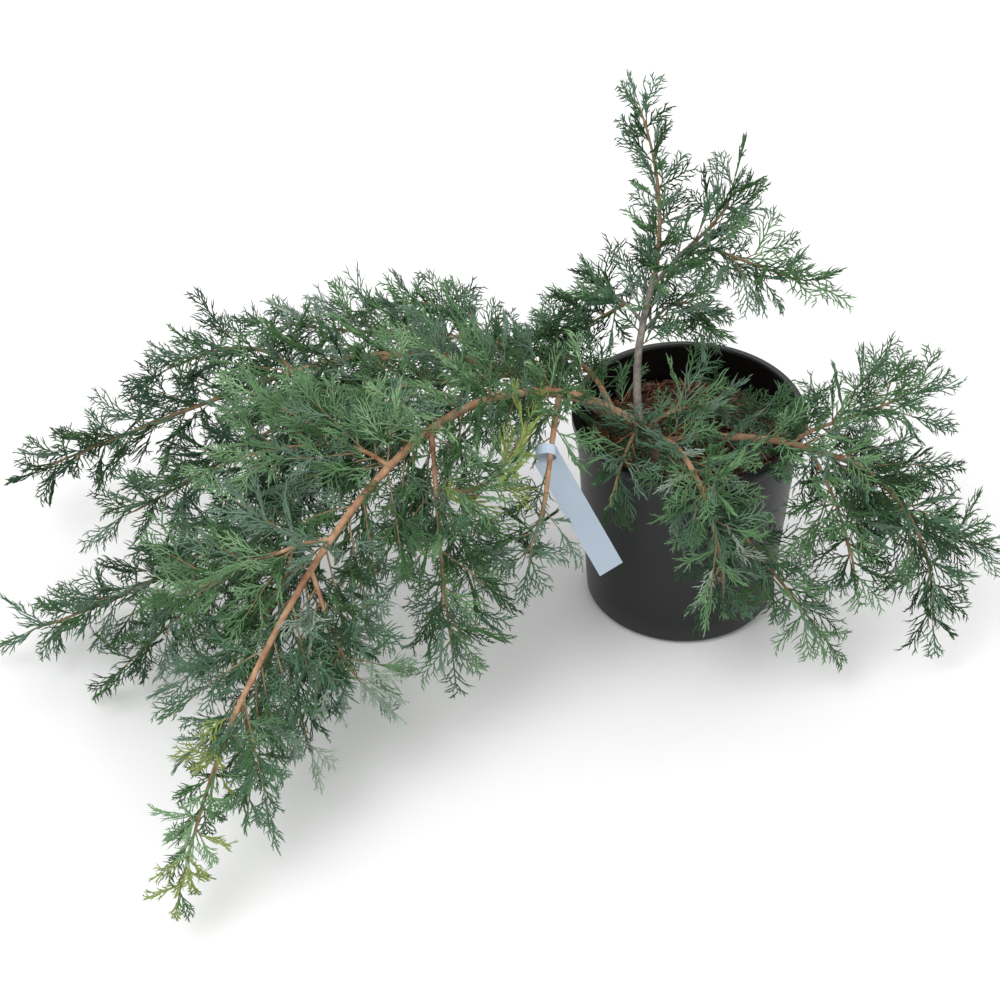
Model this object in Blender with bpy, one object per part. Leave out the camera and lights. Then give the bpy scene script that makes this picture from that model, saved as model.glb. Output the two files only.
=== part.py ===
"""Spreading blue juniper in a round black nursery pot.

Metres, +Z up. The origin is the middle of the pot's flat underside. Seen from the front,
along +Y, the long side of the crown spreads to the left, along -X.
"""

import math
import random

import bmesh
import bpy
import numpy as np
from mathutils import Vector
from mathutils.bvhtree import BVHTree

# Pot, filled to SOIL_LEVEL
POT_HEIGHT = 0.225
RIM_RADIUS = 0.115
FOOT_RADIUS = 0.095
POT_WALL = 0.0025
FOOT_CHAMFER = 0.006
FLOOR_FILLET = 0.003
LIP_ROUND = 0.002
LIP_DEPTH = 0.012
LIP_OVERHANG = 0.004
POT_SIDES = 32
SOIL_LEVEL = 0.182
MOUND_HEIGHT = 0.014
MOUND_PLACE = (0.030, 0.045)
MOUND_RADIUS = 0.050

# Clear distance between two solids that touch on the real plant
GAP = 0.0003
SEAT_SLACK = 0.00004
SEAT_TRIES = 30

# Trunk: a squat leaning stem with a root flare, cut flat where it meets the soil
TRUNK_FOOT = (-0.026, -0.024, SOIL_LEVEL + GAP)
TRUNK_TOP = (-0.050, -0.024, 0.231)
TRUNK_RADIUS = 0.0105
TRUNK_FLARE = 1.5
TRUNK_TAPER = 0.78
TRUNK_BEND = 0.003
TRUNK_SIDES = 10
TRUNK_STEP = 0.008

# Boughs: parent, share of the parent's length where it leaves, tip, share of the run where it
# bends, how far it is arched up and swayed to the right there, radius at its root and its tip
BOUGHS = {
    "leader": ("trunk", 1.00, (-0.038, 0.023, 0.370), 0.5, -0.005, -0.008, 0.0042, 0.0030),
    "leader_right": ("leader", 0.90, (0.006, 0.032, 0.410), 0.5, 0.003, 0.0, 0.0022, 0.0017),
    "leader_left": ("leader", 0.66, (-0.072, 0.034, 0.335), 0.5, 0.003, 0.0, 0.0018, 0.0014),
    "leader_low": ("leader", 0.58, (-0.020, 0.036, 0.326), 0.5, 0.003, 0.0, 0.0018, 0.0014),
    "left": ("trunk", 0.25, (-0.400, 0.050, 0.230), 0.5, 0.050, 0.018, 0.0054, 0.0028),
    "left_middle": ("left", 0.70, (-0.362, 0.010, 0.232), 0.5, 0.004, 0.0, 0.0026, 0.0020),
    "back_left": ("left", 0.26, (-0.232, 0.070, 0.262), 0.5, 0.010, 0.010, 0.0036, 0.0024),
    "near_back": ("left", 0.12, (-0.118, 0.034, 0.266), 0.5, 0.008, 0.004, 0.0028, 0.0020),
    "upper_middle": ("left", 0.34, (-0.206, -0.018, 0.278), 0.5, 0.004, 0.0, 0.0024, 0.0019),
    "low_left": ("left", 0.56, (-0.372, -0.060, 0.188), 0.5, 0.016, -0.006, 0.0032, 0.0022),
    "front_left": ("trunk", 0.72, (-0.419, -0.366, 0.170), 0.25, 0.082, 0.083, 0.0054, 0.0024),
    "fan": ("front_left", 0.52, (-0.320, -0.120, 0.274), 0.5, 0.003, 0.0, 0.0024, 0.0020),
    "outer_side": ("front_left", 0.68, (-0.384, -0.226, 0.238), 0.5, 0.003, 0.0, 0.0024, 0.0019),
    "inner": ("front_left", 0.42, (-0.244, -0.158, 0.246), 0.5, 0.003, 0.0, 0.0026, 0.0020),
    "low_front": ("front_left", 0.74, (-0.342, -0.276, 0.208), 0.5, 0.003, 0.0, 0.0024, 0.0019),
    "near_left": ("front_left", 0.17, (-0.142, -0.142, 0.238), 0.5, 0.010, 0.0, 0.0032, 0.0022),
    "right": ("trunk", 0.38, (0.160, -0.090, 0.226), 0.5, 0.026, 0.006, 0.0042, 0.0026),
    "right_upper": ("right", 0.66, (0.132, -0.048, 0.246), 0.5, 0.003, 0.0, 0.0022, 0.0018),
    "right_low": ("right", 0.74, (0.132, -0.118, 0.208), 0.5, 0.004, 0.0, 0.0020, 0.0016),
    "front": ("trunk", 0.52, (0.004, -0.138, 0.236), 0.5, 0.020, 0.0, 0.0036, 0.0024),
}
BOUGH_SIDES = 6
BOUGH_STEP = 0.045
ROUTE_POINTS = 33

# Masses of foliage: bough that carries it, whether it carries on from the bough's tip or
# leaves beside it, furthest tip, spread round its stem
MASSES = {
    "top_shoot": ("leader", "on", (-0.058, 0.082, 0.560), 0.040),
    "right_shoot_upper": ("leader_right", "on", (0.058, 0.068, 0.472), 0.046),
    "right_shoot_outer": ("leader_right", "beside", (0.132, -0.016, 0.374), 0.050),
    "left_shoot": ("leader_left", "on", (-0.141, 0.060, 0.322), 0.040),
    "low_right_shoot": ("leader_low", "on", (0.044, 0.022, 0.308), 0.036),
    "left_tip": ("left", "on", (-0.695, 0.050, 0.090), 0.054),
    "left_back": ("left", "beside", (-0.556, 0.120, 0.192), 0.052),
    "left_middle_spray": ("left_middle", "on", (-0.592, -0.052, 0.104), 0.060),
    "back_left_outer": ("back_left", "on", (-0.452, 0.150, 0.224), 0.058),
    "back_left_upper": ("back_left", "beside", (-0.345, 0.135, 0.270), 0.050),
    "near_back_outer": ("near_back", "beside", (-0.270, 0.118, 0.256), 0.054),
    "near_back_upper": ("near_back", "on", (-0.158, 0.092, 0.292), 0.046),
    "upper_middle_spray": ("upper_middle", "on", (-0.420, -0.016, 0.256), 0.066),
    "low_left_outer": ("low_left", "on", (-0.674, -0.140, 0.034), 0.060),
    "low_left_front": ("low_left", "beside", (-0.574, -0.204, 0.034), 0.058),
    "fan_spray": ("fan", "on", (-0.486, -0.084, 0.226), 0.072),
    "young_shoot": ("inner", "beside", (-0.130, -0.092, 0.284), 0.040),
    "outer_side_upper": ("outer_side", "on", (-0.524, -0.196, 0.140), 0.066),
    "outer_side_lower": ("outer_side", "beside", (-0.486, -0.310, 0.116), 0.056),
    "inner_lower": ("inner", "on", (-0.226, -0.256, 0.086), 0.066),
    "inner_upper": ("inner", "beside", (-0.196, -0.176, 0.128), 0.050),
    "low_front_inner": ("low_front", "on", (-0.288, -0.310, 0.094), 0.058),
    "low_front_hanging": ("low_front", "beside", (-0.368, -0.356, 0.080), 0.040),
    "front_left_tip": ("front_left", "on", (-0.475, -0.502, 0.045), 0.034),
    "front_left_hanging": ("front_left", "beside", (-0.404, -0.404, 0.064), 0.034),
    "near_left_spray": ("near_left", "on", (-0.176, -0.158, 0.126), 0.046),
    "rim_left": ("leader_left", "beside", (-0.148, 0.020, 0.276), 0.046),
    "right_tip": ("right", "on", (0.258, -0.146, 0.050), 0.050),
    "right_outer": ("right", "beside", (0.304, -0.088, 0.104), 0.048),
    "right_upper_spray": ("right_upper", "on", (0.256, 0.024, 0.246), 0.062),
    "right_low_spray": ("right_low", "on", (0.168, -0.150, 0.094), 0.046),
    "front_spray": ("front", "on", (0.040, -0.160, 0.078), 0.054),
    "front_low_right": ("front", "beside", (0.143, -0.156, 0.048), 0.038),
    "front_rim_spray": ("trunk", "beside", (-0.092, -0.156, 0.226), 0.050),
    "over_soil_right": ("trunk", "beside", (0.088, -0.014, 0.256), 0.050),
}

# The rule by which a mass branches
TWIG_STEP = 0.070
TWIG_FIRST = 0.12
TWIG_LAST = 0.86
TURN = math.radians(137.5)
ROOT_ANGLE = math.radians(58)
TIP_ANGLE = math.radians(36)
FLATNESS = 0.75
REACH_STEPS = (1.0, 0.84, 0.68, 0.52)
SWINGS = tuple(math.radians(a) for a in (0, 50, -50, 100, -100))
STEM_RADIUS = 0.0020
STEM_STEP = 0.040
SIDE_STEM_DROP = 0.011
STEM_SIDES = 4
STEM_TAPER = 0.55
STEM_LEAD = 0.5
STEM_LIFT = 0.9
STEM_BEND = 0.4
END_BASE = 0.024
END_SHARE = 0.5
TWIG_LENGTH = 0.082
BARE_SHARE = 0.24
SIDE_SPRAYS = ((0.076, 0.34, 1),)
SIDE_ANGLE = math.radians(44)
SIDE_LENGTH = 0.72

# A spray of needles: a slim core, and a needle drawn out of each side face
SPRAY_RADIUS = 0.0017
SPRAY_JOINTS = 2
NEEDLE_LENGTH = 0.50
NEEDLE_ANGLE = math.radians(42)
SINK = 0.004
OUTLINE_SLACK = 1.45

# Clear distance that twigs keep from other masses, limbs, pot, soil and ground
SPACE_MARGIN = 0.0022
LIMB_MARGIN = 0.0022
POT_MARGIN = 0.0030
GROUND_CLEARANCE = 0.012
SAMPLE_STEP = 0.006

# Blank label: a stiff strip that hangs by a loop from a bough, turned to face the front
LABEL_BOUGH = "near_left"
LABEL_SHARE = 0.60
LABEL_HEADING = (0.42, 0.00, -0.91)
LABEL_FACING = (0.10, -0.85, 0.50)
LABEL_LENGTH = 0.156
LABEL_WIDTH = 0.026
LABEL_THICKNESS = 0.0008
LOOP_RADIUS = 0.0095
LOOP_WIDTH = 0.010
LOOP_SIDES = 16

# Colour, roughness and metallic value of each finish
FINISHES = {
    "pot": ((0.012, 0.013, 0.015), 0.45, 0.0),
    "soil": ((0.110, 0.060, 0.038), 0.95, 0.0),
    "bark": ((0.260, 0.165, 0.115), 0.85, 0.0),
    "foliage": ((0.110, 0.230, 0.140), 0.60, 0.0),
    "label": ((0.620, 0.700, 0.800), 0.35, 0.0),
}

UP = Vector((0, 0, 1))


def clear_scene():
    for thing in list(bpy.data.objects):
        bpy.data.objects.remove(thing)


def finish(name):
    """The material of that name, made once."""
    known = bpy.data.materials.get(name)
    if known:
        return known
    colour, roughness, metallic = FINISHES[name]
    made = bpy.data.materials.new(name)
    made.use_nodes = True
    shader = made.node_tree.nodes["Principled BSDF"]
    shader.inputs["Base Color"].default_value = (*colour, 1)
    shader.inputs["Roughness"].default_value = roughness
    shader.inputs["Metallic"].default_value = metallic
    made.diffuse_color = (*colour, 1)
    return made


def add_object(name, points, faces, finish_name, collection=None):
    mesh = bpy.data.meshes.new(name)
    mesh.from_pydata([tuple(p) for p in points], [], faces)
    mesh.validate()
    made = bpy.data.objects.new(name, mesh)
    made.data.materials.append(finish(finish_name))
    (collection or bpy.context.scene.collection).objects.link(made)
    return made


def lathe(name, profile, finish_name, sides=POT_SIDES, height=None):
    """Turns (radius, z) pairs, which run from the axis below to the axis above, round +Z."""
    points, faces = [Vector((0, 0, profile[0][1]))], []
    for radius, z in profile[1:-1]:
        for k in range(sides):
            turn = 2 * math.pi * k / sides
            points.append(Vector((radius * math.cos(turn), radius * math.sin(turn), z)))
    points.append(Vector((0, 0, profile[-1][1])))
    rings, last = len(profile) - 2, len(points) - 1
    for k in range(sides):
        after = (k + 1) % sides
        faces.append((0, 1 + after, 1 + k))
        for ring in range(rings - 1):
            low, high = 1 + ring * sides, 1 + (ring + 1) * sides
            faces.append((low + k, low + after, high + after, high + k))
        top = 1 + (rings - 1) * sides
        faces.append((top + k, top + after, last))
    if height:
        for point in points:
            point.z += height(point)
    made = add_object(name, points, faces, finish_name)
    made.data.shade_smooth()
    made.data.set_sharp_from_angle(angle=math.radians(30))
    return made


def wall_radius(z):
    """The pot's outer radius, below the lip, at that height."""
    return FOOT_RADIUS + (RIM_RADIUS - LIP_OVERHANG - FOOT_RADIUS) * z / POT_HEIGHT


def inner_radius(z):
    """The radius of the pot's hollow: its wall is straight from the floor's corner to the lip."""
    top = wall_radius(POT_HEIGHT) - POT_WALL
    corner = wall_radius(POT_WALL) - POT_WALL - FLOOR_FILLET
    return corner + (top - corner) * (z - POT_WALL) / (POT_HEIGHT - POT_WALL)


def make_pot():
    lip_foot = POT_HEIGHT - LIP_DEPTH
    profile = [
        (0, 0),
        (FOOT_RADIUS - FOOT_CHAMFER, 0),
        (wall_radius(FOOT_CHAMFER), FOOT_CHAMFER),
        (wall_radius(lip_foot), lip_foot),
        (RIM_RADIUS, lip_foot + LIP_ROUND),
        (RIM_RADIUS, POT_HEIGHT - LIP_ROUND),
        (RIM_RADIUS - LIP_ROUND, POT_HEIGHT),
        (inner_radius(POT_HEIGHT), POT_HEIGHT),
        (inner_radius(POT_WALL), POT_WALL),
        (0, POT_WALL),
    ]
    lathe("pot", profile, "pot")


def soil_rise(point):
    """How far the top of the soil stands above SOIL_LEVEL: one mound, flat round the trunk."""
    if point.z < SOIL_LEVEL - 0.001:
        return 0
    away = math.dist(MOUND_PLACE, point.xy) / MOUND_RADIUS
    return MOUND_HEIGHT * max(0, 1 - away**2) ** 2


def make_soil():
    floor = POT_WALL + GAP
    edge = inner_radius(SOIL_LEVEL) - GAP
    profile = [(0, floor), (inner_radius(floor) - GAP, floor)]
    profile += [(edge * share, SOIL_LEVEL) for share in (1.0, 0.8, 0.6, 0.4, 0.2)]
    profile.append((0, SOIL_LEVEL))
    lathe("soil", profile, "soil", height=soil_rise)


def frame_of(along):
    """Two unit vectors square to a run: one level, one upward."""
    side = along.cross(UP)
    if side.length < 0.05:
        side = along.cross(Vector((0, 1, 0)))
    side.normalize()
    return side, side.cross(along).normalized()


def bent_route(start, bend, tip, count):
    """Points along a curve that leaves start towards bend and ends at tip."""
    shares = [k / (count - 1) for k in range(count)]
    return [start * (1 - t) ** 2 + bend * (2 * t * (1 - t)) + tip * t**2 for t in shares]


class Limb:
    """A tapering round stem: its centre line, and its radius at each point."""

    def __init__(self, route, first_radius, last_radius, sides, step):
        self.first_radius, self.last_radius, self.sides = first_radius, last_radius, sides
        fine = [0.0]
        for a, b in zip(route, route[1:]):
            fine.append(fine[-1] + (b - a).length)
        self.length = fine[-1]
        count = max(2, round(self.length / step) + 1)
        self.points = []
        for k in range(count):
            want = self.length * k / (count - 1)
            i = min(max(i for i, at in enumerate(fine) if at <= want + 1e-9), len(route) - 2)
            share = (want - fine[i]) / (fine[i + 1] - fine[i])
            self.points.append(route[i].lerp(route[i + 1], share))

    def radius(self, share):
        return self.first_radius + (self.last_radius - self.first_radius) * share

    def place(self, share):
        """The point, run and radius at that share of the length."""
        last = len(self.points) - 1
        i = min(int(share * last), last - 1)
        point = self.points[i].lerp(self.points[i + 1], share * last - i)
        along = (self.points[i + 1] - self.points[i]).normalized()
        return point, along, self.radius(share)

    def rings(self):
        """(centre, run, radius) of each ring of the limb's skin."""
        last = len(self.points) - 1
        for i, point in enumerate(self.points):
            before, after = self.points[max(i - 1, 0)], self.points[min(i + 1, last)]
            yield point, (after - before).normalized(), self.radius(i / last)

    def mesh(self):
        """Points and faces of the limb's skin, kept as a tree too for stems that leave it."""
        points, faces = tube(self.rings(), self.sides)
        self.skin = BVHTree.FromPolygons(points, faces)
        return points, faces

    def root_samples(self):
        """Points all over the root's end and along the first part of the skin."""
        points, _ = tube(list(self.rings())[:2], self.sides)
        root, after = points[: self.sides], points[self.sides :]
        found = [self.points[0]]
        for k, corner in enumerate(root):
            between = (corner + root[k - 1]) / 2
            found += [corner, between, between.lerp(self.points[0], 0.5)]
            found += [corner.lerp(after[k], share) for share in (0.05, 0.1, 0.2, 0.4)]
        return found


def tube(rings, sides, pointed=False):
    """Points and faces of a closed tube through rings of (centre, run, radius)."""
    points, faces = [], []
    rings = list(rings)
    level, upward = frame_of(rings[0][1])
    for centre, along, radius in rings:
        level = (level - along * level.dot(along)).normalized()
        upward = level.cross(along)
        for k in range(sides):
            turn = 2 * math.pi * k / sides
            out = level * math.cos(turn) - upward * math.sin(turn)
            points.append(centre + out * radius)
    for ring in range(len(rings) - 1):
        low, high = ring * sides, (ring + 1) * sides
        for k in range(sides):
            after = (k + 1) % sides
            faces.append((low + k, low + after, high + after, high + k))
    faces.append(tuple(reversed(range(sides))))
    top = (len(rings) - 1) * sides
    faces.append(tuple(top + k for k in range(sides)))
    return points, faces


def clear_start(parent, share, heading, radius):
    """How far along heading a stem of that radius starts, to stand GAP clear of its parent."""
    _, along, parent_radius = parent.place(share)
    lean = max(-1.0, min(1.0, heading.dot(along)))
    square = math.sqrt(max(1e-6, 1 - lean**2))
    beside = (parent_radius + GAP + radius * abs(lean)) / square
    if share < 1 or lean < 0.3:
        return beside
    return min(beside, (GAP + radius * square) / lean)


def limb_on(parent, share, route, first_radius, last_radius, sides, step):
    """A limb along the route, started where its root stands GAP clear of its parent's skin."""
    ahead = next((p for p in route if (p - route[0]).length >= step), route[-1])
    heading = (ahead - route[0]).normalized()
    left = clear_start(parent, share, heading, first_radius)
    for _ in range(SEAT_TRIES):
        rest = [p for p in route if (p - route[0]).length > left + step / 4]
        trimmed = [route[0] + heading * left, *(rest or route[-1:])]
        limb = Limb(trimmed, first_radius, last_radius, sides, step)
        away = min(parent.skin.find_nearest(point)[3] for point in limb.root_samples())
        if away < GAP + SEAT_SLACK:
            break
        left -= away - GAP
    return limb


class Trunk(Limb):
    """A limb that widens into a root flare at its foot."""

    def radius(self, share):
        return super().radius(share) * (1 + (TRUNK_FLARE - 1) * (1 - share) ** 4)


def make_trunk(limbs):
    """The foot is cut level with the soil."""
    foot, top = Vector(TRUNK_FOOT), Vector(TRUNK_TOP)
    bend = foot.lerp(top, 0.5) + Vector((TRUNK_BEND, 0, 0))
    route = bent_route(foot, bend, top, ROUTE_POINTS)
    trunk = Trunk(route, TRUNK_RADIUS, TRUNK_RADIUS * TRUNK_TAPER, TRUNK_SIDES, TRUNK_STEP)
    rings = list(trunk.rings())
    rings[0] = (rings[0][0], UP, rings[0][2])
    points, faces = tube(rings, trunk.sides)
    trunk.skin = BVHTree.FromPolygons(points, faces)
    add_object("trunk", points, faces, "bark")
    limbs["trunk"] = trunk


def make_boughs(limbs):
    """Each bough leaves its parent in an arc, and ends where its mass of foliage begins."""
    for name, (parent_name, share, tip, bend_at, arch, sway, first, last) in BOUGHS.items():
        parent = limbs[parent_name]
        start, _, _ = parent.place(share)
        tip = Vector(tip)
        level, _ = frame_of((tip - start).normalized())
        bend = start.lerp(tip, bend_at) + UP * (2 * arch) + level * (2 * sway)
        route = bent_route(start, bend, tip, ROUTE_POINTS)
        limb = limb_on(parent, share, route, first, last, BOUGH_SIDES, BOUGH_STEP)
        add_object(name + "_bough", *limb.mesh(), "bark")
        limbs[name] = limb


def stem_of(limbs, bough_name, how, tip, spread, radius):
    """A mass's stem: it carries on from the bough's tip, or leaves beside it."""
    bough = limbs[bough_name]
    share = {"on": 1.0, "beside": 1 - SIDE_STEM_DROP / bough.length}[how]
    start, along, _ = bough.place(share)
    chord = Vector(tip) - start
    tip = start + chord * (1 - end_length(spread) / chord.length)
    aside = (chord - along * chord.dot(along)).normalized()
    if bough_name == "trunk":
        lead = Vector((chord.x, chord.y, 0)).normalized() + UP * STEM_LIFT
    elif how == "on":
        lead = along + chord.normalized() * STEM_LEAD
    else:
        lead = along * STEM_LEAD + aside
    bend = start + lead.normalized() * (chord.length * STEM_BEND)
    route = bent_route(start, bend, tip, ROUTE_POINTS)
    return limb_on(bough, share, route, radius, radius * STEM_TAPER, STEM_SIDES, STEM_STEP)


def end_length(spread):
    """The length of the spray that ends a mass's stem."""
    return END_BASE + END_SHARE * spread


def nearest(points, line):
    """The distance of each point from a line of points, and the share of the line there."""
    starts, runs = line[:-1], line[1:] - line[:-1]
    offsets = points[:, None] - starts[None]
    shares = np.clip((offsets * runs).sum(2) / (runs**2).sum(1), 0, 1)
    away = np.linalg.norm(offsets - shares[..., None] * runs, axis=2)
    best = away.argmin(1)
    picked = np.arange(len(points))
    return away[picked, best], (best + shares[picked, best]) / len(runs)


def outline(share):
    """A mass's spread along its stem, as a share of its widest."""
    return 1.28 * np.minimum(1, 0.45 + 1.6 * share) * (1.04 - np.minimum(share, 1)) ** 0.6


class Space:
    """What a mass may fill: nearer to its own stem than to any other, and clear of the rest."""

    def __init__(self, stems, tips, limbs, blocks):
        self.lines = {name: np.array(stem.points + [tips[name]]) for name, stem in stems.items()}
        self.limbs = [(np.array(l.points), max(l.first_radius, l.last_radius)) for l in limbs.values()]
        self.limbs += blocks

    def holds(self, name, spread, points):
        points = np.array(points)
        own, share = nearest(points, self.lines[name])
        if (own > spread * outline(share) * OUTLINE_SLACK).any():
            return False
        for other, line in self.lines.items():
            if other != name and (nearest(points, line)[0] < own + SPACE_MARGIN).any():
                return False
        for line, radius in self.limbs:
            if (nearest(points, line)[0] < radius + LIMB_MARGIN).any():
                return False
        return bool((points[:, 2] > GROUND_CLEARANCE).all() and clear_of_pot(points))


def clear_of_pot(points):
    away, z = np.hypot(points[:, 0], points[:, 1]), points[:, 2]
    above = z > POT_HEIGHT + POT_MARGIN
    outside = away > np.maximum(wall_radius(z), np.where(z > POT_HEIGHT - 0.02, RIM_RADIUS, 0)) + POT_MARGIN
    inside = (away < inner_radius(z) - POT_MARGIN) & (z > SOIL_LEVEL + MOUND_HEIGHT + POT_MARGIN)
    return bool((above | outside | inside).all())


def samples(points, faces):
    """The corners of a small mesh, and points at even steps along its edges."""
    edges = {tuple(sorted((face[i - 1], face[i]))) for face in faces for i in range(len(face))}
    found = list(points)
    for a, b in sorted(edges):
        parts = 1 + math.ceil((points[a] - points[b]).length / SAMPLE_STEP)
        found += [points[a].lerp(points[b], k / parts) for k in range(1, parts)]
    return found


def spray(root, along, length, turn, bare=0.0):
    """A slim three-sided core that ends in a point, with a needle drawn out of each side face.

    The first part of the core, as long as its share bare says, has no needles."""
    level, upward = frame_of(along)
    first = level * math.cos(turn) + upward * math.sin(turn)
    second = along.cross(first)

    def out(corner):
        angle = 2 * math.pi * corner / 3
        return first * math.cos(angle) + second * math.sin(angle)

    begin = max(bare, SINK / length)
    joints = [0.0] + [begin + (0.86 - begin) * k / SPRAY_JOINTS for k in range(SPRAY_JOINTS + 1)]
    points, faces = [], [(2, 1, 0)]
    for at in joints:
        centre = root + along * (length * at)
        points += [centre + out(k) * (SPRAY_RADIUS * (1 - 0.55 * at)) for k in range(3)]
    points.append(root + along * length)
    tip, last = len(points) - 1, 3 * (len(joints) - 1)
    faces += [(last + k, last + (k + 1) % 3, tip) for k in range(3)]
    for joint in range(len(joints) - 1):
        for k in range(3):
            low, after = 3 * joint, (k + 1) % 3
            quad = (low + k, low + after, low + 3 + after, low + 3 + k)
            if joint == 0:
                faces.append(quad)
                continue
            middle = sum((points[i] for i in quad), Vector()) / 4
            size = NEEDLE_LENGTH * length * (1 - bare) * (1.0 - 0.45 * joints[joint])
            lean = out(k + 0.5) * math.sin(NEEDLE_ANGLE) + along * math.cos(NEEDLE_ANGLE)
            points.append(middle + lean * size)
            faces += [(quad[i], quad[(i + 1) % 4], len(points) - 1) for i in range(4)]
    return points, faces


def twigs_of(stem, spread, dice):
    """The seeded rule: twigs leave a stem at even steps, each turned on from the last."""
    count = max(3, round(stem.length * (TWIG_LAST - TWIG_FIRST) / TWIG_STEP) + 1)
    phase = dice.uniform(0, 2 * math.pi)
    for k in range(count):
        share = TWIG_FIRST + (TWIG_LAST - TWIG_FIRST) * k / (count - 1)
        angle = ROOT_ANGLE + (TIP_ANGLE - ROOT_ANGLE) * share
        reach = spread * float(outline(share)) * dice.uniform(0.88, 1.0)
        length = max(reach / math.sin(angle), TWIG_LENGTH)
        yield share, phase + k * TURN + dice.uniform(-0.3, 0.3), math.asin(reach / length), length


def twig_heading(along, turn, angle):
    level, upward = frame_of(along)
    out = (level * math.cos(turn) + upward * (math.sin(turn) * FLATNESS)).normalized()
    return along * math.cos(angle) + out * math.sin(angle)


def fitting_twig(name, spread, space, start, along, turn, angle, length, roll):
    """The longest leafy twig that the space allows, swung round the stem where it has to be."""
    for share in REACH_STEPS:
        for swing in SWINGS:
            heading = twig_heading(along, turn + swing, angle)
            twig = spray(start, heading, length * share, roll, BARE_SHARE)
            if space.holds(name, spread, samples(*twig)[3:]):
                return twig, heading, length * share
    return None


def grow(name, stem, spread, space):
    """The closed pieces of one mass: its stem, then twigs and sprays where its space allows."""
    dice = random.Random(name)
    last_point, last_run, _ = stem.place(1)
    pieces = [tube(stem.rings(), stem.sides)]
    pieces.append(spray(last_point - last_run * SINK, last_run, end_length(spread) + SINK, 0.0))
    for share, turn, angle, length in twigs_of(stem, spread, dice):
        start, along, _ = stem.place(share)
        roll = dice.uniform(0, 2 * math.pi)
        found = fitting_twig(name, spread, space, start, along, turn, angle, length, roll)
        if not found:
            continue
        twig, heading, size = found
        pieces.append(twig)
        aside = heading.cross(along).normalized()
        for least, at, hand in SIDE_SPRAYS:
            aim = (heading * math.cos(SIDE_ANGLE) + aside * (hand * math.sin(SIDE_ANGLE))).normalized()
            root = start + heading * (size * at) - aim * SINK
            for shrink in REACH_STEPS:
                side = spray(root, aim, size * SIDE_LENGTH * shrink, roll + at)
                if size >= least and space.holds(name, spread, samples(*side)[3:]):
                    pieces.append(side)
                    break
    return pieces


def keep_largest(mesh):
    """Drops the loose scrap and the sealed hollows that a union leaves beside or inside a body."""
    work = bmesh.new()
    work.from_mesh(mesh)
    unseen, bodies = set(work.verts), []
    while unseen:
        waiting = [unseen.pop()]
        body = set(waiting)
        while waiting:
            for edge in waiting.pop().link_edges:
                for corner in edge.verts:
                    if corner in unseen:
                        unseen.remove(corner)
                        body.add(corner)
                        waiting.append(corner)
        bodies.append(body)
    bodies.sort(key=len)
    scrap = [corner for body in bodies[:-1] for corner in body]
    bmesh.ops.delete(work, geom=scrap, context="VERTS")
    work.to_mesh(mesh)
    work.free()


def fuse(name, pieces, finish_name):
    """One Boolean union joins closed pieces into a single body."""
    helpers = bpy.data.collections.new(name + "_pieces")
    bpy.context.scene.collection.children.link(helpers)
    whole = add_object(name, *pieces[0], finish_name)
    for k, piece in enumerate(pieces[1:]):
        add_object(f"{name}_piece_{k}", *piece, finish_name, helpers)
    union = whole.modifiers.new("union", "BOOLEAN")
    union.operation = "UNION"
    union.operand_type = "COLLECTION"
    union.collection = helpers
    union.solver = "MANIFOLD"
    graph = bpy.context.evaluated_depsgraph_get()
    joined = bpy.data.meshes.new_from_object(whole.evaluated_get(graph))
    whole.modifiers.clear()
    keep_largest(joined)
    whole.data = joined
    for helper in list(helpers.objects):
        bpy.data.objects.remove(helper)
    bpy.data.collections.remove(helpers)
    return whole


def label_frame(limbs):
    """Where the label's loop hangs: the loop's middle, its axis, and the way down from it."""
    at, axis, radius = limbs[LABEL_BOUGH].place(LABEL_SHARE)
    down = (axis * axis.z - UP).normalized()
    centre = at + down * (LOOP_RADIUS - radius - 2 * GAP)
    return centre, axis, down


def make_label(limbs):
    """A narrow band looped round the bough, and the blank strip that hangs from it."""
    centre, axis, down = label_frame(limbs)
    across = axis.cross(down)
    points, faces = [], []
    for end in (-0.5, 0.5):
        for radius in (LOOP_RADIUS, LOOP_RADIUS + LABEL_THICKNESS):
            for k in range(LOOP_SIDES):
                turn = 2 * math.pi * k / LOOP_SIDES
                out = down * math.cos(turn) + across * math.sin(turn)
                points.append(centre + out * radius + axis * (end * LOOP_WIDTH))
    near_in, near_out, far_in, far_out = (n * LOOP_SIDES for n in range(4))
    for k in range(LOOP_SIDES):
        after = (k + 1) % LOOP_SIDES
        faces.append((near_in + k, near_in + after, near_out + after, near_out + k))
        faces.append((far_out + k, far_out + after, far_in + after, far_in + k))
        faces.append((near_out + k, near_out + after, far_out + after, far_out + k))
        faces.append((far_in + k, far_in + after, near_in + after, near_in + k))
    fuse("label", [(points, faces), label_strip(centre + down * LOOP_RADIUS)], "label")


def label_strip(top):
    """The strip as a thin box that runs down from its top edge."""
    heading = Vector(LABEL_HEADING).normalized()
    side = heading.cross(Vector(LABEL_FACING)).normalized()
    normal = heading.cross(side)
    corners = []
    for along in (0, LABEL_LENGTH):
        for across in (-0.5, 0.5):
            for thick in (-0.5, 0.5):
                place = top + heading * along + side * (across * LABEL_WIDTH)
                corners.append(place + normal * (thick * LABEL_THICKNESS))
    return corners, [(0, 1, 3, 2), (4, 6, 7, 5), (0, 4, 5, 1), (2, 3, 7, 6), (0, 2, 6, 4), (1, 5, 7, 3)]


def label_blocks(limbs):
    """The label as a line of its half width, for the foliage to keep clear of."""
    centre, _, down = label_frame(limbs)
    top = centre + down * LOOP_RADIUS
    line = [centre - down * LOOP_RADIUS, top, top + Vector(LABEL_HEADING).normalized() * LABEL_LENGTH]
    return [(np.array(line), LABEL_WIDTH / 2 + 0.001)]


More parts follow.
